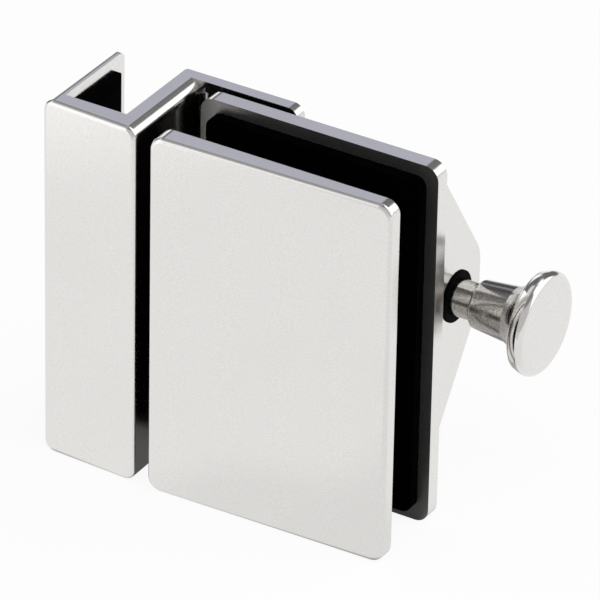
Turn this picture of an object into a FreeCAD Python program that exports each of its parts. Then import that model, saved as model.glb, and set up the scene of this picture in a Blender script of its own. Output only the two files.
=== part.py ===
"""Sprung bolt latch that joins a glass gate to a glass panel standing at a right angle to it.

Frame, millimetres: X runs from the strike bracket to the knob, Y from the front faces
to the bolt behind them, Z up. The origin is the middle of the gate's front glass face.
"""
import FreeCAD
import Part
import math
import os

V = FreeCAD.Vector
X_AXIS = V(1, 0, 0)
Y_AXIS = V(0, 1, 0)
Z_AXIS = V(0, 0, 1)

# Glass and rubber
glass_t = 12.0                 # both panes
gasket_t = 2.75                # rubber between steel and glass
gasket_inset = 3.2             # bare steel left round each rubber
gasket_corner_r = 3.0
sleeve_gap = 0.1               # radial play of a sleeve on its boss and in the rubbers
sleeve_short = 1.0             # sleeve shorter than the gap, so that the rubber can squash
liner_inset = 4.0              # bare steel above and below the strike channel's liner
liner_corner_r = 0.5
liner_floor_t = 1.5            # liner on the channel's floor
liner_mouth_inset = 3.55       # bare steel past the liner at the channel's mouth
liner_rim_t = 1.4              # liner at its rim, thinner so that the glass slides in
liner_lead_in = 2.5            # run of the slope from the rim to the full thickness

# Gate plates
height = 100.0                 # plates and strike bracket alike
plate_w = 66.6
front_t_meeting = 6.1          # front plate at the edge that meets the bracket
front_t_free = 4.4             # front plate at the knob edge, so its face leans
rear_t = 4.4
rear_edge_r = 0.2              # the rear plate's back is left almost sharp
plate_corner_r = 3.7
plate_edge_r = 1.1             # round the front plate's face
plate_back_r = 0.5             # round its back, along the rubber's margin

# Strike bracket
meeting_gap = 4.15             # between the bracket and the gate plates
return_t = 3.75                # outer wall of the glass channel
step_t = 6.0                   # inner wall, thick enough to be threaded
bracket_t_outer = 4.5          # front wall at its free edge
bracket_t_meeting = 5.85       # front wall at the meeting edge
channel_depth = 26.5           # from the channel floor to the end of the outer wall
bracket_corner_r = 3.0
bracket_edge_r = 1.2
return_end_r = 2.0
arm_clear = 2.0                # between the rear plate and the arm behind it
arm_t = 3.25
arm_reach = 27.8               # past the step wall
arm_root_r = 2.5
bend_edge_r = 0.8              # outer corner between step wall and arm

# Strike bracket fasteners
strike_screw_d = 6.0
strike_head_d = 11.0
strike_screw_z = 25.0          # each side of the middle
strike_screw_y = 10.5          # middle of the clamped glass edge
strike_screw_short = 2.0       # screw ends this far inside the step wall
strike_sleeve_d = 12.0
buffer_d = 10.0
buffer_edge_r = 1.0
buffer_gap = 0.25              # rubber buffer to the closed gate
buffer_inset = 16.0            # buffer's middle inside the ends of the plates

# Knob axis and the cradle that carries it
axis_standoff = 20.5           # knob axis behind the rear plate
cradle_t = 4.0
cradle_clear = 2.15            # between the end of the arm and the cradle
ear_setback = 7.95             # outer ear inside the knob edge of the plates
cradle_half_h = 38.0
bend_inner_r = 1.2
ear_nose = 11.4                # ear past the knob axis
ear_nose_half = 7.7            # where nose and slope would meet
ear_slope = 0.665              # Y lost for each Z along the slope
ear_nose_r = 10.0
ear_shoulder_r = 6.0
ear_edge_r = 0.5

# Gate clamp screws
clamp_d = 8.0
clamp_head_d = 14.5
clamp_z = 22.0
boss_d = 12.0
boss_h = 11.5                  # threaded boss on the front plate, into the glass hole
glass_sleeve_d = 16.0
clamp_end = 1.5                # screw stops short of the front face of the glass
cradle_screw_d = 4.0
cradle_head_d = 8.0
cradle_screw_pitch_x = 16.0
cradle_screw_z = 32.5
cradle_screw_bite = 3.4        # into the rear plate
socket_share = 0.6             # key socket across its flats, of the screw's diameter
socket_depth_share = 0.75      # of the head's height
screw_tip_share = 0.3          # chamfered tip, of the screw's radius
seat_gap = 0.05                # radial, between a piece and the hole that holds it
hole_gap = 0.3                 # radial, screw in a clearance hole
drill_tip = 0.4                # hole past the end of a screw

# Bolt
stroke = 11.0
tongue_lap = 10.2              # tongue behind the arm when shut
tongue_clear = 0.3             # tongue to the back of the arm
tongue_half_w = 9.0
tongue_above_axis = 7.5
tongue_tip_t = 4.0
tongue_bevel_run = 12.2
tongue_edge_r = 0.8
window_gap = 0.1               # tongue in the inner ear's window
flange_t = 4.0
flange_half_w = 12.0
flange_above_axis = 9.4
flange_foot_r = 1.0
flange_top_r = 3.0
flange_gap = 0.1               # flange to the inner ear when shut
glide_gap = 0.1
glide_side = 1.0               # glide strip narrower than the tongue
glide_end = 2.0                # glide strip short of the outer ear
glide_corner_r = 1.0

# Pull rod, bush and spring
rod_d = 9.6
rod_stub_d = 8.0
rod_stub_in = 9.0
rod_stub_out = 12.0
rod_chamfer = 0.6
bush_gap = 0.08                # running fit of the rod
bush_wall = 1.2
bush_flange_d = 13.6
bush_flange_t = 0.5
bush_rim_r = 0.25
bush_stop_gap = 0.1            # flange to the bush at full pull
washer_t = 1.0
washer_d = 18.0
wire_d = 1.4
spring_mean_d = 14.8
spring_turns = 5
spring_seat_gap = 0.05
spring_end_rise = 1.7          # axial run of the bend at each end
spring_end_swing = 0.11        # the same bend, in turns
pin_d = 2.5

# Knob
knob_stem_start = 6.3          # bare rod between the outer ear and the knob
stem_start_r = 0.9             # rounded edge at the stem's start
stem_r_start = 6.25
stem_r_end = 7.15
stem_length = 9.9
knob_r = 13.4                  # at the rim's widest, next to the face
knob_back = 15.1               # stem's start to the back of the rim
throat_end_r = 9.45            # where the throat meets the disc's sloping back
throat_end_back = 1.6          # that place before the rim
throat_bow = 0.2               # throat's arc, inwards from its chord
lip_run = 0.35                 # rounded lip each side of the rim's back
lip_drop = 0.55
lip_bow = 0.16
rim_t = 2.5
rim_flare = 0.7                # the rim's back is narrower by this
rim_bow = 0.1
face_r = 1.7                   # rounding between the rim and the face

# Modelling
spare = 1.0                    # waste past a face, so that a cut comes out clean
tiny = 1e-6

# Places worked out from the sizes above
half_h = height / 2
half_w = plate_w / 2
floor_y = -gasket_t
rear_front_y = glass_t + gasket_t
rear_back_y = rear_front_y + rear_t
bracket_right = -half_w - meeting_gap
clamp_gap = glass_t + 2 * gasket_t
channel_right = bracket_right - step_t
channel_left = channel_right - clamp_gap
bracket_left = channel_left - return_t
channel_end = floor_y + channel_depth
arm_front = rear_back_y + arm_clear
arm_back = arm_front + arm_t
arm_end = bracket_right + arm_reach
axis_y = rear_back_y + axis_standoff
cradle_left = arm_end + cradle_clear
cradle_right = half_w - ear_setback
cradle_mid = (cradle_left + cradle_right) / 2
cradle_top = rear_back_y + cradle_t
ear_in_left = cradle_left + cradle_t
ear_in_right = cradle_right - cradle_t
tongue_front = arm_back + tongue_clear
tongue_back = axis_y + tongue_above_axis
tongue_tip = arm_end - tongue_lap
flange_left = ear_in_left + flange_gap
flange_right = flange_left + flange_t
flange_mid = (flange_left + flange_right) / 2
bush_inner_end = flange_right + stroke + bush_stop_gap
bush_body_d = rod_d + 2 * (bush_gap + bush_wall)
knob_x = cradle_right + knob_stem_start
strike_screw_end = bracket_right - strike_screw_short
CLAMP_ZS = (-clamp_z, clamp_z)
STRIKE_ZS = (-strike_screw_z, strike_screw_z)


def on_plane(plane, u, v, depth=0.0):
    """Point of a sketch: plane 'xz' looks along Y, 'yz' along X and 'xy' along Z."""
    if plane == "xz":
        return V(u, depth, v)
    if plane == "yz":
        return V(depth, u, v)
    return V(u, v, depth)


def outline(plane, corners, depth=0.0):
    """Closed wire through (u, v, radius) corners, each rounded by its own radius."""
    count = len(corners)
    points = [V(u, v, 0) for u, v, _ in corners]
    starts = []
    ends = []
    mids = []
    for i in range(count):
        here = points[i]
        back = (points[i - 1] - here).normalize()
        ahead = (points[(i + 1) % count] - here).normalize()
        radius = corners[i][2]
        half = back.getAngle(ahead) / 2
        run = radius / math.tan(half)
        starts.append(here + back * run)
        ends.append(here + ahead * run)
        bisector = (back + ahead).normalize()
        mids.append(here + bisector * (radius / math.sin(half) - radius))
    edges = []
    for i in range(count):
        a = on_plane(plane, starts[i].x, starts[i].y, depth)
        b = on_plane(plane, ends[i].x, ends[i].y, depth)
        after = starts[(i + 1) % count]
        c = on_plane(plane, after.x, after.y, depth)
        if corners[i][2] > 0:
            m = on_plane(plane, mids[i].x, mids[i].y, depth)
            edges.append(Part.Arc(a, m, b).toShape())
        edges.append(Part.LineSegment(b, c).toShape())
    return Part.Wire(edges)


def prism(plane, corners, low, high):
    """Solid between two depths of a rounded outline."""
    way = {"xz": Y_AXIS, "yz": X_AXIS, "xy": Z_AXIS}[plane]
    return Part.Face(outline(plane, corners, low)).extrude(way * (high - low))


def slab(x0, x1, z0, z1, radius, y0, y1):
    """Plate in the XZ plane with rounded corners."""
    corners = [(x0, z0, radius), (x1, z0, radius), (x1, z1, radius), (x0, z1, radius)]
    return prism("xz", corners, y0, y1)


def box(x0, x1, y0, y1, z0, z1):
    return Part.makeBox(x1 - x0, y1 - y0, z1 - z0, V(x0, y0, z0))


def rod_along(way, start, radius, length):
    return Part.makeCylinder(radius, length, start, way)


def corner_cutter(x_face, z_face, x_sign, z_sign, radius, y0, y1):
    """Waste outside a rounded edge that runs along Y at the corner x_face, z_face."""
    cx = x_face - x_sign * radius
    cz = z_face - z_sign * radius
    x_out = x_face + x_sign * spare
    z_out = z_face + z_sign * spare
    block = box(min(cx, x_out), max(cx, x_out), y0, y1, min(cz, z_out), max(cz, z_out))
    return block.cut(rod_along(Y_AXIS, V(cx, y0, cz), radius, y1 - y0))


def edges_of_face(solid, normal, tolerance=0.02):
    """Outer edges of the flat face that looks most nearly along a direction."""
    best = None
    for face in solid.Faces:
        if face.Surface.TypeId != "Part::GeomPlane":
            continue
        if (face.normalAt(0, 0) - normal).Length > tolerance:
            continue
        if best is None or face.Area > best.Area:
            best = face
    return best.OuterWire.Edges


def leaning_normal(dx, dy):
    """Outward normal of a front face that runs dx along X while Y changes by dy."""
    return V(dy, -dx, 0).normalize()


def hex_socket(way, face_centre, across, depth):
    """Hexagonal key socket sunk from a screw's face against the screw's way."""
    corner_r = across / math.sqrt(3)
    turns = [math.radians(60 * k) for k in range(6)]
    corners = [(corner_r * math.cos(a), corner_r * math.sin(a), 0) for a in turns]
    socket = prism("xy", corners, 0, depth)
    socket.Placement = FreeCAD.Placement(face_centre, FreeCAD.Rotation(Z_AXIS, way))
    return socket


def countersunk_screw(way, head_centre, shank_d, head_d, length):
    """Flat-headed socket screw; way points from its head to its tip."""
    r = shank_d / 2
    head_h = (head_d - shank_d) / 2
    tip_h = r * screw_tip_share
    head = Part.makeCone(head_d / 2, r, head_h, head_centre, way)
    shank = rod_along(way, head_centre, r, length - tip_h)
    tip = Part.makeCone(r, r - tip_h, tip_h, head_centre + way * (length - tip_h), way)
    socket = hex_socket(way, head_centre, shank_d * socket_share, head_h * socket_depth_share)
    return head.fuse(shank).fuse(tip).cut(socket).removeSplitter()


def countersink(way, head_centre, shank_d, head_d, depth):
    """Waste of a through hole with the seat of a flat screw head."""
    r = shank_d / 2 + seat_gap
    head_h = (head_d - shank_d) / 2
    seat = Part.makeCone(head_d / 2 + seat_gap, r, head_h, head_centre, way)
    return seat.fuse(rod_along(way, head_centre, r, depth))


def hollow_ring(way, start, outer_r, inner_r, length):
    tube = rod_along(way, start, outer_r, length)
    return tube.cut(rod_along(way, start, inner_r, length))


def gasket(y0, y1):
    """Rubber sheet between a gate plate and the glass; the glass sleeves pass through it."""
    inset_w = half_w - gasket_inset
    inset_h = half_h - gasket_inset
    hole_r = glass_sleeve_d / 2 + sleeve_gap
    sheet = slab(-inset_w, inset_w, -inset_h, inset_h, gasket_corner_r, y0, y1)
    for z in CLAMP_ZS:
        sheet = sheet.cut(rod_along(Y_AXIS, V(cradle_mid, y0, z), hole_r, y1 - y0))
    return sheet


def make_front_plate():
    """Face plate whose front leans: thicker at the edge that meets the bracket."""
    front_max = floor_y - front_t_meeting
    front_min = floor_y - front_t_free
    body = slab(-half_w, half_w, -half_h, half_h, plate_corner_r, front_max, floor_y)
    lean = [
        (-half_w, floor_y, 0), (-half_w, front_max, 0), (half_w, front_min, 0), (half_w, floor_y, 0),
    ]
    body = body.common(prism("xy", lean, -half_h, half_h))
    normal = leaning_normal(plate_w, front_t_meeting - front_t_free)
    body = body.makeFillet(plate_edge_r, edges_of_face(body, normal))
    return body.makeFillet(plate_back_r, edges_of_face(body, Y_AXIS))


def make_clamp_bosses():
    """Threaded bosses welded to the back of the front plate, inside the glass holes."""
    hole_start = clamp_end - drill_tip
    depth = floor_y + boss_h - hole_start
    bosses = []
    for z in CLAMP_ZS:
        boss = rod_along(Y_AXIS, V(cradle_mid, floor_y, z), boss_d / 2, boss_h)
        thread = rod_along(Y_AXIS, V(cradle_mid, hole_start, z), clamp_d / 2 + seat_gap, depth)
        bosses.append(boss.cut(thread))
    return bosses


def make_rear_plate():
    body = slab(-half_w, half_w, -half_h, half_h, plate_corner_r, rear_front_y, rear_back_y)
    body = body.makeFillet(rear_edge_r, edges_of_face(body, Y_AXIS))
    for z in CLAMP_ZS:
        hole = rod_along(Y_AXIS, V(cradle_mid, rear_front_y, z), clamp_d / 2 + hole_gap, rear_t)
        body = body.cut(hole)
    depth = cradle_screw_bite + drill_tip
    for x, z in cradle_screw_places():
        start = V(x, rear_back_y - depth, z)
        body = body.cut(rod_along(Y_AXIS, start, cradle_screw_d / 2 + seat_gap, depth))
    return body


def cradle_screw_places():
    half = cradle_screw_pitch_x / 2
    return [(cradle_mid + i * half, j * cradle_screw_z) for i in (-1, 1) for j in (-1, 1)]


def ear_outline():
    """Humped side of the cradle in Y and Z: flat nose, sloping shoulders, straight foot."""
    nose_y = axis_y + ear_nose
    shoulder_y = nose_y - (cradle_half_h - ear_nose_half) * ear_slope
    return [
        (rear_back_y, -cradle_half_h, 0),
        (shoulder_y, -cradle_half_h, ear_shoulder_r),
        (nose_y, -ear_nose_half, ear_nose_r),
        (nose_y, ear_nose_half, ear_nose_r),
        (shoulder_y, cradle_half_h, ear_shoulder_r),
        (rear_back_y, cradle_half_h, 0),
    ]


def make_bolt_cradle():
    """One strip bent to a U: foot on the rear plate, two humped ears across the bolt."""
    nose_y = axis_y + ear_nose
    outer_r = bend_inner_r + cradle_t
    strip = [
        (cradle_left, nose_y, 0), (cradle_left, rear_back_y, outer_r),
        (cradle_right, rear_back_y, outer_r), (cradle_right, nose_y, 0),
        (ear_in_right, nose_y, 0), (ear_in_right, cradle_top, bend_inner_r),
        (ear_in_left, cradle_top, bend_inner_r), (ear_in_left, nose_y, 0),
    ]
    body = prism("xy", strip, -cradle_half_h, cradle_half_h)
    body = body.common(prism("yz", ear_outline(), cradle_left, cradle_right))
    ear_edges = [e for e in edges_of_face(body, X_AXIS) if e.CenterOfMass.y > rear_back_y + outer_r]
    body = body.makeFillet(ear_edge_r, ear_edges)
    bush_hole_r = bush_body_d / 2 + seat_gap
    body = body.cut(rod_along(X_AXIS, V(ear_in_right, axis_y, 0), bush_hole_r, cradle_t))
    wall = tongue_half_w + window_gap
    window = box(
        cradle_left, ear_in_left,
        tongue_front - window_gap, tongue_back + window_gap, -wall, wall,
    )
    body = body.cut(window)
    for z in CLAMP_ZS:
        place = V(cradle_mid, cradle_top, z)
        body = body.cut(countersink(-Y_AXIS, place, clamp_d, clamp_head_d, cradle_t))
    for x, z in cradle_screw_places():
        place = V(x, cradle_top, z)
        body = body.cut(countersink(-Y_AXIS, place, cradle_screw_d, cradle_head_d, cradle_t))
    return body


def make_clamp_screws():
    length = cradle_top - clamp_end
    return [
        countersunk_screw(-Y_AXIS, V(cradle_mid, cradle_top, z), clamp_d, clamp_head_d, length)
        for z in CLAMP_ZS
    ]


def make_cradle_screws():
    length = cradle_t + cradle_screw_bite
    return [
        countersunk_screw(-Y_AXIS, V(x, cradle_top, z), cradle_screw_d, cradle_head_d, length)
        for x, z in cradle_screw_places()
    ]


def make_glass_sleeves():
    """Plastic sleeves that keep the bosses off the glass, standing on the front plate."""
    inner_r = boss_d / 2 + sleeve_gap
    length = clamp_gap - sleeve_short
    return [
        hollow_ring(Y_AXIS, V(cradle_mid, floor_y, z), glass_sleeve_d / 2, inner_r, length)
        for z in CLAMP_ZS
    ]


def bracket_section():
    """Plan of the bracket: glass channel, step wall and the arm behind the gate."""
    left_y = floor_y - bracket_t_outer
    right_y = floor_y - bracket_t_meeting
    return [
        (bracket_left, left_y, 0), (bracket_right, right_y, 0),
        (bracket_right, arm_front, arm_root_r), (arm_end, arm_front, 0),
        (arm_end, arm_back, 0), (channel_right, arm_back, bend_edge_r),
        (channel_right, floor_y, 0), (channel_left, floor_y, 0),
        (channel_left, channel_end, 0), (bracket_left, channel_end, 0),
    ]


def make_strike_bracket():
    body = prism("xy", bracket_section(), -half_h, half_h)
    front = floor_y - bracket_t_meeting - spare
    end_r = return_end_r
    for side in (-1, 1):
        z = side * half_h
        body = body.cut(corner_cutter(bracket_left, z, -1, side, bracket_corner_r, front, arm_back))
        step = corner_cutter(bracket_right, z, 1, side, bracket_corner_r, front, arm_front)
        beyond = box(
            bracket_right, bracket_right + arm_root_r, front, arm_front,
            min(z, z - side * bracket_corner_r), max(z, z - side * bracket_corner_r),
        )
        body = body.cut(step.fuse(beyond))
        body = body.cut(corner_cutter(arm_end, z, 1, side, bracket_corner_r, arm_front, arm_back))
        mouth = box(
            bracket_left - spare, channel_left + spare, channel_end - end_r, channel_end + spare,
            min(z - side * end_r, z + side * spare), max(z - side * end_r, z + side * spare),
        )
        centre = V(bracket_left - spare, channel_end - end_r, z - side * end_r)
        mouth = mouth.cut(rod_along(X_AXIS, centre, end_r, return_t + 2 * spare))
        body = body.cut(mouth)
    normal = leaning_normal(bracket_right - bracket_left, bracket_t_outer - bracket_t_meeting)
    body = body.makeFillet(bracket_edge_r, edges_of_face(body, normal))
    for z in STRIKE_ZS:
        head = V(bracket_left, strike_screw_y, z)
        body = body.cut(countersink(X_AXIS, head, strike_screw_d, strike_head_d, return_t))
        tapped_from = V(channel_right, strike_screw_y, z)
        depth = strike_screw_end + drill_tip - channel_right
        body = body.cut(rod_along(X_AXIS, tapped_from, strike_screw_d / 2 + seat_gap, depth))
    return body


def make_strike_liner():
    """U-shaped rubber in the glass channel, thinned at its rim to let the glass in.

    The strike sleeves pass through its walls.
    """
    inner_left = channel_left + gasket_t
    inner_right = channel_right - gasket_t
    inner_floor = floor_y + liner_floor_t
    mouth = channel_end - liner_mouth_inset
    z = half_h - liner_inset
    r = liner_corner_r
    section = [
        (channel_left, floor_y, 0), (channel_right, floor_y, 0), (channel_right, mouth, 0),
        (inner_right, mouth, 0), (inner_right, inner_floor, 0), (inner_left, inner_floor, 0),
        (inner_left, mouth, 0), (channel_left, mouth, 0),
    ]
    profile = [(floor_y, -z, 0), (mouth, -z, r), (mouth, z, r), (floor_y, z, 0)]
    liner = prism("xy", section, -z, z).common(prism("yz", profile, channel_left, channel_right))
    rim_left = channel_left + liner_rim_t
    rim_right = channel_right - liner_rim_t
    for wall, rim in ((inner_left, rim_left), (inner_right, rim_right)):
        mouth_slope = [
            (wall, mouth - liner_lead_in, 0), (rim, mouth, 0),
            (rim, mouth + spare, 0), (wall, mouth + spare, 0),
        ]
        liner = liner.cut(prism("xy", mouth_slope, -z, z))
        for side in (-1, 1):
            end_slope = [
                (wall, side * (z - liner_lead_in), 0), (rim, side * z, 0),
                (rim, side * (z + spare), 0), (wall, side * (z + spare), 0),
            ]
            liner = liner.cut(prism("xz", end_slope, inner_floor, mouth))
    for hole_z in STRIKE_ZS:
        start = V(channel_left, strike_screw_y, hole_z)
        liner = liner.cut(rod_along(X_AXIS, start, strike_sleeve_d / 2 + sleeve_gap, clamp_gap))
    return liner


def make_strike_screws():
    length = strike_screw_end - bracket_left
    return [
        countersunk_screw(
            X_AXIS, V(bracket_left, strike_screw_y, z), strike_screw_d, strike_head_d, length,
        )
        for z in STRIKE_ZS
    ]


def make_strike_sleeves():
    """Plastic sleeves round the strike screws, standing on the outer wall."""
    inner_r = strike_screw_d / 2 + sleeve_gap
    length = clamp_gap - sleeve_short
    return [
        hollow_ring(X_AXIS, V(channel_left, strike_screw_y, z), strike_sleeve_d / 2, inner_r, length)
        for z in STRIKE_ZS
    ]


def make_strike_buffers():
    """Domed rubber discs stuck to the arm, which the closed gate rests against."""
    thickness = arm_clear - buffer_gap
    x = (bracket_right + arm_end) / 2
    buffer_z = half_h - buffer_inset
    discs = []
    for z in (-buffer_z, buffer_z):
        disc = rod_along(-Y_AXIS, V(x, arm_front, z), buffer_d / 2, thickness)
        rim = [e for e in disc.Edges if abs(e.CenterOfMass.y - arm_front + thickness) < tiny]
        discs.append(disc.makeFillet(buffer_edge_r, rim))
    return discs


def make_tongue():
    """Bevelled block that snaps behind the arm, with the flange the spring pushes on."""
    bevel_start = tongue_front + tongue_tip_t
    flange_top = axis_y + flange_above_axis
    side = [
        (flange_mid, tongue_front, 0), (tongue_tip, tongue_front, tongue_edge_r),
        (tongue_tip, bevel_start, tongue_edge_r),
        (tongue_tip + tongue_bevel_run, tongue_back, tongue_edge_r),
        (flange_mid, tongue_back, 0),
    ]
    body = prism("xy", side, -tongue_half_w, tongue_half_w)
    flange = prism("yz", [
        (tongue_front, -flange_half_w, flange_foot_r), (tongue_front, flange_half_w, flange_foot_r),
        (flange_top, flange_half_w, flange_top_r), (flange_top, -flange_half_w, flange_top_r),
    ], flange_left, flange_right)
    body = body.fuse(flange).removeSplitter()
    depth = rod_stub_in + drill_tip
    start = V(flange_right - depth, axis_y, 0)
    body = body.cut(rod_along(X_AXIS, start, rod_stub_d / 2 + seat_gap, depth))
    return body.cut(pin_shape(seat_gap))


def pin_shape(gap=0.0):
    """Cross pin through the flange and the rod's inner stub, or its hole with a gap."""
    start = V(flange_mid, axis_y, -flange_half_w)
    return rod_along(Z_AXIS, start, pin_d / 2 + gap, 2 * flange_half_w)


def revolve_profile(edges):
    """Solid of revolution about the knob axis from a closed profile in X and radius."""
    face = Part.Face(Part.Wire(edges))
    return face.revolve(V(0, axis_y, 0), X_AXIS, 360)


def at(x, r):
    return V(x, axis_y + r, 0)


def line(a, b):
    return Part.LineSegment(a, b).toShape()


def bowed(a, b, bow):
    """Arc between two profile points that stands off its chord, outwards where positive."""
    chord = b - a
    outwards = V(-chord.y, chord.x, 0).normalize()
    return Part.Arc(a, (a + b) * 0.5 + outwards * bow, b).toShape()


def quarter_bow(radius):
    """How far a quarter circle stands off its chord."""
    return radius * (1 - math.cos(math.pi / 4))


def make_pull_rod():
    """Plain rod with a threaded stub at each end."""
    stub_r = rod_stub_d / 2
    left = flange_right - rod_stub_in
    right = knob_x + rod_stub_out
    points = [
        at(left, 0), at(left, stub_r - rod_chamfer), at(left + rod_chamfer, stub_r),
        at(flange_right, stub_r), at(flange_right, rod_d / 2), at(knob_x, rod_d / 2),
        at(knob_x, stub_r), at(right - rod_chamfer, stub_r), at(right, stub_r - rod_chamfer),
        at(right, 0),
    ]
    edges = [line(a, b) for a, b in zip(points, points[1:] + points[:1])]
    return revolve_profile(edges).cut(pin_shape(seat_gap))


def make_knob():
    """Turned knob: tapering stem, trumpet throat, rounded rim and a flat polished face."""
    back_x = knob_x + knob_back
    rim_x = back_x + rim_t
    face_x = rim_x + face_r
    rim_back_r = knob_r - rim_flare
    hole_r = rod_stub_d / 2 + seat_gap
    hole_end = knob_x + rod_stub_out + drill_tip
    hole = at(knob_x, hole_r)
    start = at(knob_x, stem_r_start - stem_start_r)
    stem = at(knob_x + stem_start_r, stem_r_start)
    throat = at(knob_x + stem_length, stem_r_end)
    throat_end = at(back_x - throat_end_back, throat_end_r)
    lip = at(back_x - lip_run, rim_back_r - lip_drop)
    rim = at(back_x + lip_run, rim_back_r)
    rim_end = at(rim_x, knob_r)
    face = at(face_x, knob_r - face_r)
    centre = at(face_x, 0)
    end = at(hole_end, 0)
    end_wall = at(hole_end, hole_r)
    return revolve_profile([
        line(hole, start),
        bowed(start, stem, quarter_bow(stem_start_r)),
        line(stem, throat),
        bowed(throat, throat_end, -throat_bow),
        line(throat_end, lip),
        bowed(lip, rim, lip_bow),
        bowed(rim, rim_end, rim_bow),
        bowed(rim_end, face, quarter_bow(face_r)),
        line(face, centre),
        line(centre, end),
        line(end, end_wall),
        line(end_wall, hole),
    ])


def make_rod_bush():
    """Flanged bush pressed in the outer ear; its long inner end stops the pull."""
    body_r = bush_body_d / 2
    start = V(bush_inner_end, axis_y, 0)
    bush = rod_along(X_AXIS, start, body_r, cradle_right - bush_inner_end)
    flange = rod_along(X_AXIS, V(cradle_right, axis_y, 0), bush_flange_d / 2, bush_flange_t)
    rim = [e for e in flange.Edges if abs(e.CenterOfMass.x - cradle_right - bush_flange_t) < tiny]
    bush = bush.fuse(flange.makeFillet(bush_rim_r, rim))
    length = cradle_right + bush_flange_t - bush_inner_end
    return bush.cut(rod_along(X_AXIS, start, rod_d / 2 + bush_gap, length)).removeSplitter()


def make_spring_washer():
    start = V(ear_in_right - washer_t, axis_y, 0)
    return hollow_ring(X_AXIS, start, washer_d / 2, bush_body_d / 2 + sleeve_gap, washer_t)


def make_glide_strip():
    """Slippery strip on the cradle's foot that the tongue's flange runs along."""
    z = tongue_half_w - glide_side
    x0 = ear_in_left + bend_inner_r
    x1 = ear_in_right - glide_end
    return slab(x0, x1, -z, z, glide_corner_r, cradle_top, tongue_front - glide_gap)


def biarc(p0, t0, p1, t1):
    """Two arcs that leave p0 along t0 and reach p1 along t1."""
    v = p1 - p0
    t = t0 + t1
    a = 2 * (1 - t0.dot(t1))
    b = 2 * v.dot(t)
    c = -v.dot(v)
    if a < tiny:
        d = -c / b
    else:
        d = (-b + math.sqrt(b * b - 4 * a * c)) / (2 * a)
    q0 = p0 + t0 * d
    q1 = p1 - t1 * d
    joint = (q0 + q1) * 0.5
    return arc_from(p0, t0, joint) + arc_from(joint, (joint - q0).normalize(), p1)


def arc_from(start, tangent, end):
    """Arc (or a line where there is no turn) from a start and tangent to an end."""
    chord = end - start
    across = chord - tangent * chord.dot(tangent)
    if across.Length < tiny:
        return [line(start, end)]
    across = across.normalize()
    radius = chord.dot(chord) / (2 * chord.dot(across))
    centre = start + across * radius
    to_mid = ((start + end) * 0.5 - centre).normalize()
    if chord.dot(tangent) < 0:
        to_mid = -to_mid
    return [Part.Arc(start, centre + to_mid * abs(radius), end).toShape()]


def helix_point(turn, x_start, pitch):
    angle = 2 * math.pi * turn
    radius = spring_mean_d / 2
    centre = V(x_start + pitch * turn, axis_y, 0)
    return centre + V(0, radius * math.cos(angle), radius * math.sin(angle))


def helix_tangent(turn, pitch):
    angle = 2 * math.pi * turn
    round_speed = math.pi * spring_mean_d
    way = V(pitch, -round_speed * math.sin(angle), round_speed * math.cos(angle))
    return way.normalize()


def make_bolt_spring():
    """Compression spring: one unbroken helix whose ends turn square to their seats."""
    x_low = flange_right + spring_seat_gap
    x_high = ear_in_right - washer_t - spring_seat_gap
    x_first = x_low + wire_d + spring_end_rise
    x_last = x_high - wire_d - spring_end_rise
    pitch = (x_last - x_first) / spring_turns
    stops = [k / 4 for k in range(4 * spring_turns + 1)]
    first = helix_point(-spring_end_swing, x_low + wire_d, 0)
    last = helix_point(spring_turns + spring_end_swing, x_high - wire_d, 0)
    edges = [line(V(x_low, first.y, first.z), first)]
    edges += biarc(first, X_AXIS, helix_point(0, x_first, pitch), helix_tangent(0, pitch))
    for a, b in zip(stops, stops[1:]):
        edges += biarc(
            helix_point(a, x_first, pitch), helix_tangent(a, pitch),
            helix_point(b, x_first, pitch), helix_tangent(b, pitch),
        )
    end_point = helix_point(spring_turns, x_first, pitch)
    edges += biarc(end_point, helix_tangent(spring_turns, pitch), last, X_AXIS)
    edges.append(line(last, V(x_high, last.y, last.z)))
    spine = Part.Wire(edges)
    section = Part.Wire(Part.makeCircle(wire_d / 2, V(x_low, first.y, first.z), X_AXIS))
    shell = Part.BRepOffsetAPI.MakePipeShell(spine)
    shell.add(section)
    shell.build()
    shell.makeSolid()
    report_spring(spine, shell.shape())
    return shell.shape()


def report_spring(spine, solid):
    """Print the least gap of the wire to itself, its tightest bend and its volume."""
    step = 0.35
    points = []
    along = 0.0
    for edge in spine.OrderedEdges:
        for point in edge.discretize(max(2, int(edge.Length / step) + 1))[:-1]:
            points.append((along + (point - edge.firstVertex().Point).Length, point))
        along += edge.Length
    least = min(
        (p - q).Length
        for i, (s, p) in enumerate(points)
        for r, q in points[i + 1:]
        if r - s > 4 * wire_d
    )
    radii = [e.Curve.Radius for e in spine.Edges if hasattr(e.Curve, "Radius")]
    expected = math.pi * wire_d ** 2 / 4 * spine.Length
    print(
        "spring: length %.1f, least gap to itself %.2f, tightest bend %.2f, volume %.1f of %.1f"
        % (spine.Length, least - wire_d, min(radii), solid.Volume, expected)
    )


def lower_and_upper(name, solids):
    return {name + "_lower": solids[0], name + "_upper": solids[1]}


def numbered(name, solids):
    return {"%s_%d" % (name, i): solid for i, solid in enumerate(solids, 1)}


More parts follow.
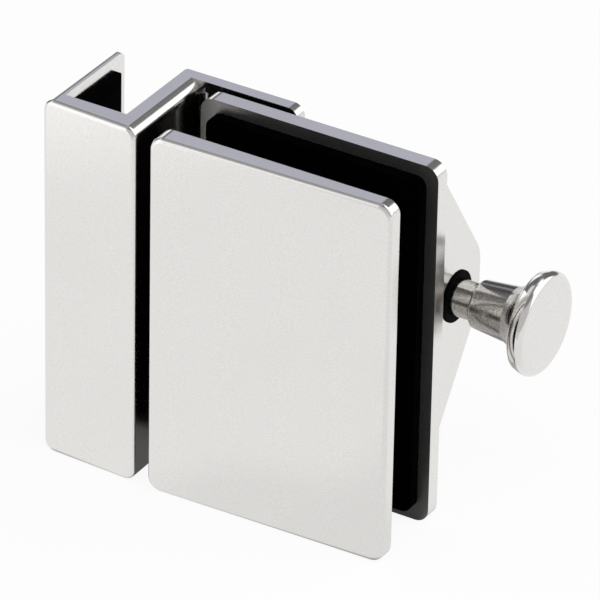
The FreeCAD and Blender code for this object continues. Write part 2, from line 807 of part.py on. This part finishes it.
def build():
    return {
        "front_plate": make_front_plate(),
        **lower_and_upper("clamp_boss", make_clamp_bosses()),
        "front_gasket": gasket(floor_y, 0),
        "rear_plate": make_rear_plate(),
        "rear_gasket": gasket(glass_t, rear_front_y),
        **lower_and_upper("glass_sleeve", make_glass_sleeves()),
        **lower_and_upper("clamp_screw", make_clamp_screws()),
        "bolt_cradle": make_bolt_cradle(),
        **numbered("cradle_screw", make_cradle_screws()),
        "glide_strip": make_glide_strip(),
        "rod_bush": make_rod_bush(),
        "spring_washer": make_spring_washer(),
        "bolt_spring": make_bolt_spring(),
        "tongue": make_tongue(),
        "tongue_pin": pin_shape(),
        "pull_rod": make_pull_rod(),
        "knob": make_knob(),
        "strike_bracket": make_strike_bracket(),
        "strike_liner": make_strike_liner(),
        **lower_and_upper("strike_screw", make_strike_screws()),
        **lower_and_upper("strike_sleeve", make_strike_sleeves()),
        **lower_and_upper("strike_buffer", make_strike_buffers()),
    }


def write(parts):
    os.makedirs("parts", exist_ok=True)
    for name, shape in parts.items():
        shape.exportStep("parts/%s.step" % name)
        size = shape.optimalBoundingBox()
        print(
            "%-19s valid %s volume %9.1f  X %.2f %.2f  Y %.2f %.2f  Z %.2f %.2f" % (
                name, shape.isValid(), shape.Volume,
                size.XMin, size.XMax, size.YMin, size.YMax, size.ZMin, size.ZMax,
            )
        )


write(build())
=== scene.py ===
# %% [markdown]
# # A sprung bolt latch for a glass gate
#
# The latch joins a glass gate to a glass panel that stands at a right angle to it. Two polished
# steel plates clamp the gate, a bent steel bracket clamps the panel, and a bolt behind the gate
# snaps behind the bracket's arm until its knob is pulled.
#
# The solids come from the CAD model as a fixed frame. This script gives each one the surface
# that the real piece has, adds what a machine shop leaves on it, and sets up the light, the
# floor and the camera. Everything is in metres, X from bracket to knob, Y to the back, Z up.

# %% Load the frame
import math

import bmesh
import bpy
from mathutils import Matrix, Vector


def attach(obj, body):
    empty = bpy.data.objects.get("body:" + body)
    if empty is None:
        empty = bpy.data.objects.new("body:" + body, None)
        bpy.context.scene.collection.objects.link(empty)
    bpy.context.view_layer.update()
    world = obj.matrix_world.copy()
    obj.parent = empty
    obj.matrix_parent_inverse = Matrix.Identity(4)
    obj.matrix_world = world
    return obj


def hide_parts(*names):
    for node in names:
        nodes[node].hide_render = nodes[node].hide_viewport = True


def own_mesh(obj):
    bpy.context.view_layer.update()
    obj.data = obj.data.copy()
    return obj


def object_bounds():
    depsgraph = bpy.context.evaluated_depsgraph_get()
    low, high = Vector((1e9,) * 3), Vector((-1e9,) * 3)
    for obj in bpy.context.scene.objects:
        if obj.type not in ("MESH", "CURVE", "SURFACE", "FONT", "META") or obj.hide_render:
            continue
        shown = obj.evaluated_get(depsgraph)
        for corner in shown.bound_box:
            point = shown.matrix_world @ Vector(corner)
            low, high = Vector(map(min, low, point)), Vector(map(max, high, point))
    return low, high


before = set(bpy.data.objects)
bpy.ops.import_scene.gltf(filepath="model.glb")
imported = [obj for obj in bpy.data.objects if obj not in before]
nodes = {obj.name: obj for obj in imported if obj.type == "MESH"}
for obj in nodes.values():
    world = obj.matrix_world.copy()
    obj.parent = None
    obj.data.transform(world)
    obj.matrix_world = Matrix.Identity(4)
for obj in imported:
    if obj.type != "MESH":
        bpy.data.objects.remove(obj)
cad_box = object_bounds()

scene = bpy.context.scene
MM = 0.001

# %% [markdown]
# ## Shader maths as expressions
#
# A procedural finish is a formula over the surface. Wiring each multiplication by hand makes
# that formula hard to read, so one small class wraps a socket and turns Python operators into
# Math nodes. `node` adds any node: its settings first, then its sockets. Colours are
# scene-linear throughout.

# %% A socket that can be calculated with
class Value:
    """One output socket of a node tree, with the operators of a number."""

    def __init__(self, tree, socket):
        self.tree = tree
        self.socket = socket

    def math(self, operation, *others):
        """Math node with this socket as its first input."""
        return calculate(self.tree, operation, self, *others)

    def __add__(self, other):
        return self.math("ADD", other)

    def __sub__(self, other):
        return self.math("SUBTRACT", other)

    def __mul__(self, other):
        return self.math("MULTIPLY", other)

    def __truediv__(self, other):
        return self.math("DIVIDE", other)

    def __rsub__(self, other):
        return calculate(self.tree, "SUBTRACT", other, self)

    def __rtruediv__(self, other):
        return calculate(self.tree, "DIVIDE", other, self)

    __radd__ = __add__
    __rmul__ = __mul__

    def above(self, edge, soft):
        """0 below edge, 1 above it, with a smooth step of half-width soft."""
        settings = {"interpolation_type": "SMOOTHSTEP"}
        inputs = {"Value": self, "From Min": edge - soft, "From Max": edge + soft}
        return node(self.tree, "ShaderNodeMapRange", settings, inputs, "Result")

    def below(self, edge, soft):
        return 1.0 - self.above(edge, soft)


def node(tree, kind, settings=None, inputs=None, output=0):
    """Adds a node: its settings first, then the values or links of its sockets."""
    made = tree.nodes.new(kind)
    for name, value in (settings or {}).items():
        setattr(made, name, value)
    for name, value in (inputs or {}).items():
        socket = made.inputs[name]
        if isinstance(value, Value):
            tree.links.new(value.socket, socket)
        else:
            socket.default_value = value
    return Value(tree, made.outputs[output]) if made.outputs else None


def calculate(tree, operation, *values):
    """Math node on values, which are sockets or numbers."""
    return node(tree, "ShaderNodeMath", {"operation": operation}, dict(enumerate(values)))


def split_vector(tree, vector):
    """The three parts of a vector socket."""
    first = node(tree, "ShaderNodeSeparateXYZ", {}, {0: vector})
    return [Value(tree, part) for part in first.socket.node.outputs]


def mix_colour(tree, factor, first, second):
    """Colour that goes from first to second as factor goes from 0 to 1."""
    # A Mix node has sockets for every type of value; 6, 7 and output 2 are those for colours.
    first, second = (c if isinstance(c, Value) else (*c, 1.0) for c in (first, second))
    return node(tree, "ShaderNodeMix", {"data_type": "RGBA"}, {0: factor, 6: first, 7: second}, 2)


print("reflected operators:", [name for name in vars(Value) if name.startswith("__r")])

# %% [markdown]
# ## Finishes
#
# Each finish is one material: a Principled shader with constants on its own sockets, and with
# roughness, bump and colour that vary over the surface as handling and machining leave them.
# All patterns are in object coordinates, in metres, so a scale of 1000 means one feature each
# millimetre. The last helper finds edges, which wear lightens and dulls a little.

# %% Start a finish
EDGE = 0.3 * MM            # how far in from an edge the wear reaches on small pieces
WIDE_EDGE = 0.4 * MM       # the same on the buffed pieces


def empty_tree(block):
    """The node tree of a material or a world, with nothing in it."""
    block.use_nodes = True
    block.node_tree.nodes.clear()
    return block.node_tree


def new_finish(name):
    """A material with its empty tree and the object coordinates."""
    material = bpy.data.materials.new(name)
    tree = empty_tree(material)
    return material, tree, node(tree, "ShaderNodeTexCoord", output="Object")


def shade(tree, **sockets):
    """Ends a finish with its Principled shader; sockets holds constants and links."""
    inputs = {name.replace("_", " "): value for name, value in sockets.items()}
    shader = node(tree, "ShaderNodeBsdfPrincipled", {}, inputs)
    node(tree, "ShaderNodeOutputMaterial", {}, {"Surface": shader})


def noise(tree, place, scale, detail=3.0, rough=0.5, stretch=None):
    """Noise from 0 to 1 with so many features a metre, fewer where stretch is below 1."""
    if stretch:
        place = node(tree, "ShaderNodeMapping", {}, {"Vector": place, "Scale": stretch})
    inputs = {"Vector": place, "Scale": scale, "Detail": detail, "Roughness": rough}
    return node(tree, "ShaderNodeTexNoise", {}, inputs, "Fac")


def bump(tree, height, distance, normal=None):
    """Normal of a surface raised by height, from 0 to 1, times distance in metres."""
    inputs = {"Height": height, "Distance": distance, "Strength": 1.0}
    if normal:
        inputs["Normal"] = normal
    return node(tree, "ShaderNodeBump", {}, inputs, "Normal")


def rounded_edges(tree, radius):
    """0 on flat places and 1 on edges, from how much a small rounding turns the normal."""
    soft = node(tree, "ShaderNodeBevel", {"samples": 4}, {"Radius": radius}, "Normal")
    flat = node(tree, "ShaderNodeNewGeometry", output="Normal")
    settings = {"operation": "DOT_PRODUCT"}
    same = node(tree, "ShaderNodeVectorMath", settings, {0: soft, 1: flat}, "Value")
    return (1.0 - same).above(0.06, 0.05)

# %% [markdown]
# ## Polished stainless steel
#
# The plates, the bracket and the cradle are stainless steel, buffed until they mirror the
# room. A mirror could be left perfectly smooth, but buffing leaves fine lines along the part,
# a slight waviness that bends reflections, a mottled grain, and a soft haze where hands touch
# it. So colour and roughness come from noise and smudges, and two bumps lie under them: a very
# shallow long one for the waviness and a short one for the grain of the rolled sheet.
#
# The rod and the knob's stem are left as the lathe made them. Their rings are finer than a
# picture shows, so they only make the surface duller and darker. Beyond that, the turned stretch
# is painted much darker than the buffed steel, as painted shade for the rod and stem behind the
# plates. `shaded_turned_until` is the place along X, in metres, where that surface ends and the
# buffed one begins. In the deep corner of the bracket, behind `painted_shade_from` along Y,
# places that little light reaches are painted dark, as painted shade. The faces that the rubbers
# cover are left as rolled, dull and grey; `inside` is the stretch along Y that holds them.

# %% Polished steel
BUFFED = (0.785, 0.772, 0.753), (0.845, 0.830, 0.810)     # darkest and lightest of the mottle
SMUDGED = (0.78, 0.765, 0.745)
# Turned steel is duller, and these colours are also painted much darker as shade for the rod and
# stem behind the plates.
TURNED_AND_SHADED = (0.30, 0.292, 0.282), (0.50, 0.487, 0.47)
RINGED = (0.36, 0.35, 0.34)
ROLLED = (0.30, 0.295, 0.29), (0.50, 0.49, 0.48)
# Colour painted as shade into the bracket's deep corner.
PAINTED_SHADE = (0.06, 0.06, 0.06)
PAINTED_SHADE_REACH = 16 * MM       # a place is deep where little is open within this distance


def make_polished_steel(name, start=0.13, shaded_turned_until=None, painted_shade_from=None, inside=None):
    material, tree, place = new_finish(name)
    x, y, _ = split_vector(tree, place)
    lines = noise(tree, place, 900.0, 4.0, 0.6, stretch=(0.12, 1.0, 1.0))
    smudges = noise(tree, place, 45.0, 3.0, 0.55)
    mottle = noise(tree, place, 2600.0, 2.0, 0.6)
    grain = noise(tree, place, 5200.0, 2.0, 0.6)
    waves = noise(tree, place, 60.0, 1.0, 0.4)
    edges = rounded_edges(tree, WIDE_EDGE)

    rough = start + lines * 0.05 + smudges.above(0.58, 0.12) * 0.02 + edges * 0.02
    steel = mix_colour(tree, mottle.above(0.5, 0.16), *BUFFED)
    steel = mix_colour(tree, smudges.above(0.6, 0.2) * 0.3, steel, SMUDGED)
    # Painted shade: the bracket's deep corner is darkened where little of the room is open.
    if painted_shade_from:
        openness = node(tree, "ShaderNodeAmbientOcclusion", {"samples": 4},
                        {"Distance": PAINTED_SHADE_REACH}, "AO")
        painted_shade = openness.below(0.44, 0.2) * y.above(painted_shade_from, 2 * MM)
        steel = mix_colour(tree, painted_shade * 0.9, steel, PAINTED_SHADE)
    if inside:
        rolled = y.above(inside[0], 0.04 * MM) * y.below(inside[1], 0.04 * MM)
        steel = mix_colour(tree, rolled, steel, mix_colour(tree, mottle, *ROLLED))
        rough = rough + rolled * 0.22
    # Rod and stem: real tool rings, and a darker colour that is painted shade.
    if shaded_turned_until:
        shaded_turned = x.below(shaded_turned_until, 1.2 * MM)
        rings = noise(tree, place, 1900.0, 2.0, 0.6, stretch=(1.0, 0.25, 0.25))
        shaded_turned_steel = mix_colour(tree, mottle.above(0.5, 0.14), *TURNED_AND_SHADED)
        shaded_turned_steel = mix_colour(tree, rings * 0.4, shaded_turned_steel, RINGED)
        steel = mix_colour(tree, shaded_turned, steel, shaded_turned_steel)
        rough = rough + shaded_turned * rings * 0.03
    soft = bump(tree, waves, 0.03 * MM)
    soft = bump(tree, grain, 0.0012 * MM, normal=soft)
    shade(tree, Base_Color=steel, Metallic=1.0, Roughness=rough, Normal=soft)
    return material


polished_steel = make_polished_steel("polished_steel")
plate_steel = make_polished_steel("plate_steel", inside=(-2.81 * MM, 14.81 * MM))
knob_steel = make_polished_steel("knob_steel", start=0.09, shaded_turned_until=46.2 * MM)
bracket_steel = make_polished_steel("bracket_steel", painted_shade_from=4 * MM)
print("finishes:", polished_steel.name, plate_steel.name, knob_steel.name, bracket_steel.name)

# %% [markdown]
# ## Bright steel
#
# Screws, clamp bosses, the washer, the pin and the spring are turned, rolled or drawn, not
# buffed. They are as bright as the plates but show their tool marks: fine rings round the axis
# of anything that was turned. The rings of a real lathe tool are a tenth of a millimetre
# apart, which is finer than a picture shows, so a fine grain stands for them, which only
# changes the roughness and tilts the surface a little.

# %% Bright steel
def make_bright_steel():
    material, tree, place = new_finish("bright_steel")
    marks = noise(tree, place, 2600.0, 2.0, 0.6)
    stains = noise(tree, place, 160.0, 3.0, 0.6)
    edges = rounded_edges(tree, EDGE)

    rough = 0.16 + marks * 0.10 + stains.above(0.6, 0.1) * 0.10 + edges * 0.08
    steel = mix_colour(tree, stains, (0.74, 0.74, 0.75), (0.62, 0.61, 0.60))
    steel = mix_colour(tree, edges * 0.6, steel, (0.85, 0.85, 0.85))
    shade(tree, Base_Color=steel, Metallic=1.0, Roughness=rough,
          Normal=bump(tree, marks, 0.006 * MM))
    return material


bright_steel = make_bright_steel()
print("finish:", bright_steel.name)

# %% [markdown]
# ## Rubber and nylon
#
# The pads between steel and glass are black rubber sheet, the rod's bush is black nylon, and
# the sleeves round the screws and the strip under the tongue are uncoloured nylon. Rubber is
# dull and very finely pitted, and dust in its pits keeps it from looking like a hole. Nylon is
# smoother and shows the flow of the mould. The black pieces hardly shine in the photograph, so
# their gloss is very low.

# %% Rubber and nylon
def make_black_rubber():
    material, tree, place = new_finish("black_rubber")
    pits = noise(tree, place, 3600.0, 3.0, 0.6)
    dust = noise(tree, place, 120.0, 4.0, 0.65)
    edges = rounded_edges(tree, EDGE)

    rubber = mix_colour(tree, dust.above(0.55, 0.15), (0.0004, 0.0004, 0.0005),
                        (0.0010, 0.0010, 0.0011))
    rubber = mix_colour(tree, edges * 0.4, rubber, (0.0040, 0.0040, 0.0042))
    rough = 0.62 + dust * 0.2 + edges * 0.05
    shade(tree, Base_Color=rubber, Roughness=rough, Specular_IOR_Level=0.008,
          Normal=bump(tree, pits, 0.02 * MM))
    return material


def make_nylon(name, colour, worn, rough_start, gloss):
    """Moulded nylon: flow lines, a fine grain and edges that are worn to another colour."""
    material, tree, place = new_finish(name)
    flow = noise(tree, place, 240.0, 2.0, 0.5, stretch=(1.0, 1.0, 3.0))
    grain = noise(tree, place, 2800.0, 2.0, 0.5)
    edges = rounded_edges(tree, EDGE)

    nylon = mix_colour(tree, flow, colour, tuple(0.86 * c for c in colour))
    nylon = mix_colour(tree, edges * 0.6, nylon, worn)
    rough = rough_start + flow * 0.12 + grain * 0.06
    shade(tree, Base_Color=nylon, Roughness=rough, Specular_IOR_Level=gloss,
          Normal=bump(tree, grain, 0.012 * MM))
    return material


black_rubber = make_black_rubber()
black_nylon = make_nylon("black_nylon", colour=(0.0012, 0.0012, 0.0013),
                         worn=(0.005, 0.005, 0.0053), rough_start=0.42, gloss=0.012)
pale_nylon = make_nylon("pale_nylon", colour=(0.74, 0.72, 0.66), worn=(0.80, 0.79, 0.75),
                        rough_start=0.30, gloss=0.5)
# The keys are the CAD materials' names. Blender adds a number to a new one of the same name.
finishes = {"polished_steel": polished_steel, "bright_steel": bright_steel,
            "black_rubber": black_rubber, "black_nylon": black_nylon,
            "pale_nylon": pale_nylon}
special = {"knob": knob_steel, "pull_rod": knob_steel, "strike_bracket": bracket_steel,
           "front_plate": plate_steel, "rear_plate": plate_steel}
print("finishes:", sorted(finishes))

# %% [markdown]
# ## Dressing the CAD solids
#
# The solids already have the shapes that the latch has, with their bends, fillets and screw
# sockets, so none is rebuilt here. Each one only changes its plain CAD material for the finish
# of the same name. Knob, rod, bracket and plates take their own kinds of polished steel.

# %% Dress every solid
def dress(name, piece):
    for slot in piece.material_slots:
        plain = slot.material.name.split(".")[0]
        slot.material = special.get(name, finishes[plain])
        print(f"{name:22s} {plain}")


for name, piece in sorted(nodes.items()):
    dress(name, piece)

# %% [markdown]
# ## The coil spring
#
# The spring shortens while the bolt is pulled, between the tongue's flange, which moves, and
# the washer on the outer ear, which doesn't. A CAD solid keeps its shape, so a copy of the coil
# with a mesh of its own stands in for it here, hung on the latch frame, and the solid is hidden.

# %% Put a copy of the spring in place
def shorten_spring():
    coil = bpy.data.objects.new("spring_coil", nodes["bolt_spring"].data.copy())
    scene.collection.objects.link(coil)
    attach(coil, "latch_frame")
    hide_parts("bolt_spring")
    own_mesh(coil)


shorten_spring()

# %% [markdown]
# ## The room
#
# A mirror has no look of its own: it shows the room. So the light is one soft room, written as
# brightness over direction: a tall white panel on the right with a wing above the back wall, a
# window on the left in front, daylight low at the back left with a pale lavender wall above
# it, and dark stretches between them. Azimuth is counted in degrees from the back, over the
# right; elevation from the height of the latch's middle. Each patch is laid over the ones
# before it, with a soft border. Below the horizon the same list says how bright the floor is.

# %% The room's light by direction
WHOLE = 400                # degrees, more than any azimuth, for a patch all the way round
BARE_WALL = (0.57, 0.57, 0.57)
SEEN_WHITE = (1.0, 1.0, 1.0)
ROOM = [
    # name, from and to azimuth, from and to elevation, border, brightness
    ("floor", -WHOLE, WHOLE, -120, 0, 2, (0.93, 0.93, 0.93)),
    ("steep floor", -WHOLE, WHOLE, -120, -56, 8, (0.86, 0.86, 0.86)),
    ("floor at the front right", 70, 168, -120, -9, 14, (0.85, 0.85, 0.85)),
    ("far floor at the front", 140, 200, -12, 0, 4, (0.68, 0.68, 0.68)),
    ("far floor by the window", -152, -124, -13, 2, 3, (1.20, 1.20, 1.20)),
    ("ceiling", -WHOLE, WHOLE, 53, 120, 6, (0.23, 0.23, 0.23)),
    ("left ceiling", -152, 0, 55, 120, 4, (0.36, 0.36, 0.36)),
    ("dark back", -100, 24, 0, 54, 4, (0.15, 0.15, 0.15)),
    ("left wall", -112, -60, 36, 50, 3, (0.78, 0.78, 0.78)),
    ("glow over the window", -152, -108, 38, 57, 4, (0.62, 0.62, 0.62)),
    ("lavender wall", -40, -23, 26, 52, 3, (0.55, 0.56, 0.655)),
    ("daylight", -60, -37, -18, 15, 3, (1.15, 1.17, 1.2)),
    ("window", -156, -106, 0, 38, 6, (1.30, 1.30, 1.30)),
    ("panel", 25, 87, 7, 76, 6, (1.7, 1.7, 1.7)),
    ("wing of the panel", -11, 34, 48, 68, 4, (1.28, 1.28, 1.28)),
]


def patch(u, v, left, right, low, high, soft):
    """1 inside a rectangle of u and v, such as of two angles, and 0 outside it."""
    across = u.above(left, soft) * u.below(right, soft)
    return across * v.above(low, soft) * v.below(high, soft)


def room_light(tree, way):
    """Colour of the room in a direction, given as a vector of any length."""
    way = node(tree, "ShaderNodeVectorMath", {"operation": "NORMALIZE"}, {0: way}, "Vector")
    x, y, z = split_vector(tree, way)
    azimuth = x.math("ARCTAN2", y) * (180 / math.pi)
    elevation = z.math("ARCSINE") * (180 / math.pi)
    colour = BARE_WALL
    for _, left, right, low, high, soft, light in ROOM:
        inside = patch(azimuth, elevation, left, right, low, high, soft)
        if right > 180 and left > -180:
            inside = inside + patch(azimuth + 360, elevation, left, right, low, high, soft)
        colour = mix_colour(tree, inside, colour, light)
    return colour


def light_room():
    scene.world = bpy.data.worlds.new("studio")
    tree = empty_tree(scene.world)
    colour = room_light(tree, node(tree, "ShaderNodeTexCoord", output="Generated"))
    seen = node(tree, "ShaderNodeLightPath", output="Is Camera Ray")
    colour = mix_colour(tree, seen, colour, SEEN_WHITE)
    sky = node(tree, "ShaderNodeBackground", {}, {"Color": colour, "Strength": 1.0})
    node(tree, "ShaderNodeOutputWorld", {}, {"Surface": sky})
    print("room light:", len(ROOM), "patches")


light_room()

# %% [markdown]
# ## Floor
#
# The latch stands on a pale floor. For the camera most of it is lifted to plain white through
# Light Path's Is Camera Ray, and the rest stays diffuse, which keeps the shadow. The steel
# mirrors the floor too, through Is Glossy Ray: it sees the room's list below the horizon, taken
# from the latch's middle, and the darkness that the latch keeps under and behind itself.

# %% Floor
FLOOR_HALF = 6.0           # metres
FLOOR_GAP = 0.2 * MM       # under the latch, so that the two don't touch
LIFT = 0.92                # share of plain white that the camera sees; the rest is diffuse
PAINT = (0.90, 0.90, 0.90), (0.93, 0.93, 0.93)
SHADES = [
    # name, from and to x, from and to y, border in mm, share of the light that is left
    ("behind the plates", -60, 27, 16, 82, 12, 0.45),
    ("under the latch", -63, 32, -7.5, 26, 2, 0.11),
]


def make_floor(top):
    """A level sheet whose object coordinates start right below the frame's origin."""
    mesh = bpy.data.meshes.new("floor")
    shape = bmesh.new()
    bmesh.ops.create_grid(shape, x_segments=8, y_segments=8, size=FLOOR_HALF)
    shape.to_mesh(mesh)
    shape.free()
    floor = bpy.data.objects.new("floor", mesh)
    floor.location = (0, 0, top)
    scene.collection.objects.link(floor)
    return floor


def floor_shade(x, y):
    """1 in the open and less where the latch keeps the light off; x and y in millimetres."""
    left = 1.0
    for _, x0, x1, y0, y1, soft, share in SHADES:
        left = left * (1.0 - patch(x, y, x0, x1, y0, y1, soft) * (1.0 - share))
    return left


def make_floor_finish(depth):
    """White for the camera, the room's list for mirrors; depth is from the latch's middle."""
    material, tree, place = new_finish("pale_floor")
    cloud = noise(tree, place, 3.0, 2.0)
    paint = mix_colour(tree, cloud, *PAINT)
    matt = node(tree, "ShaderNodeBsdfDiffuse", {}, {"Color": paint})

    way = node(tree, "ShaderNodeVectorMath", {"operation": "SUBTRACT"},
               {0: place, 1: (0, 0, depth)}, "Vector")
    x, y, _ = split_vector(tree, place)
    open_share = floor_shade(x / MM, y / MM)
    lit = node(tree, "ShaderNodeVectorMath", {"operation": "SCALE"},
               {0: room_light(tree, way), "Scale": open_share}, "Vector")
    seen = node(tree, "ShaderNodeLightPath", output="Is Camera Ray")
    mirrored = node(tree, "ShaderNodeLightPath", output="Is Glossy Ray")
    light = mix_colour(tree, seen, lit, SEEN_WHITE)
    white = node(tree, "ShaderNodeEmission", {}, {"Color": light, "Strength": 1.0})

    both = node(tree, "ShaderNodeMixShader", {}, {0: seen * LIFT + mirrored, 1: matt, 2: white})
    node(tree, "ShaderNodeOutputMaterial", {}, {"Surface": both})
    return material


floor = make_floor(cad_box[0][2] - FLOOR_GAP)
floor.data.materials.append(make_floor_finish(-floor.location.z))
print("floor at z =", round(floor.location.z / MM, 2), "mm")

# %% [markdown]
# ## Soft key lamp
#
# The room alone would leave the floor and the dull parts a little dark. A large soft lamp
# overhead lifts them to the level at which a colour looks as it is written. It is kept out of
# mirror reflections, because the steel already has its panel and window.

# %% Key lamp
def add_key(place, size, power):
    data = bpy.data.lights.new("key", "AREA")
    data.shape = "DISK"
    data.size = size
    data.energy = power
    key = bpy.data.objects.new("key", data)
    key.location = place
    key.rotation_euler = (-Vector(place)).to_track_quat("-Z", "Y").to_euler()
    key.visible_glossy = False
    key.visible_camera = False
    scene.collection.objects.link(key)
    return key


key = add_key(place=(0.5, -0.35, 1.3), size=0.9, power=6.0)
print("key lamp", round(key.location.length, 2), "m away")

# %% [markdown]
# ## Camera
#
# The photograph is taken from the front right and above, with a long lens, so upright edges
# stay upright and parallel ones nearly parallel. The camera looks back along a line given by
# its azimuth and elevation, turned by a degree as the photograph is.

# %% Camera
scene.view_settings.view_transform = "Standard"


def add_camera(azimuth, elevation, roll, aim, distance, lens):
    """A camera at so many metres from aim; angles in degrees, lens in millimetres."""
    az, el, ro = (math.radians(a) for a in (azimuth, elevation, roll))
    back = Vector((math.sin(az) * math.cos(el), -math.cos(az) * math.cos(el), math.sin(el)))
    level = Vector((math.cos(az), math.sin(az), 0))
    raised = back.cross(level)
    right = level * math.cos(ro) + raised * math.sin(ro)
    up = raised * math.cos(ro) - level * math.sin(ro)
    data = bpy.data.cameras.new("camera")
    data.sensor_fit = "HORIZONTAL"
    data.sensor_width = 36.0
    data.lens = lens
    data.clip_start = 0.01
    camera = bpy.data.objects.new("camera", data)
    turn = Matrix((right, up, back)).transposed().to_4x4()
    camera.matrix_world = Matrix.Translation(Vector(aim) + back * distance) @ turn
    scene.collection.objects.link(camera)
    scene.camera = camera
    return camera


camera = add_camera(azimuth=30.68, elevation=30.93, roll=1.129,
                    aim=(-0.00112, 0.00935, 0.00554), distance=1.6051, lens=397.03)
print("camera at", [round(v, 4) for v in camera.location], "lens", round(camera.data.lens, 2))

# %% [markdown]
# ## Size
#
# The CAD model's box is taken right after the import, as cad_box, and the floor is set just
# below it.
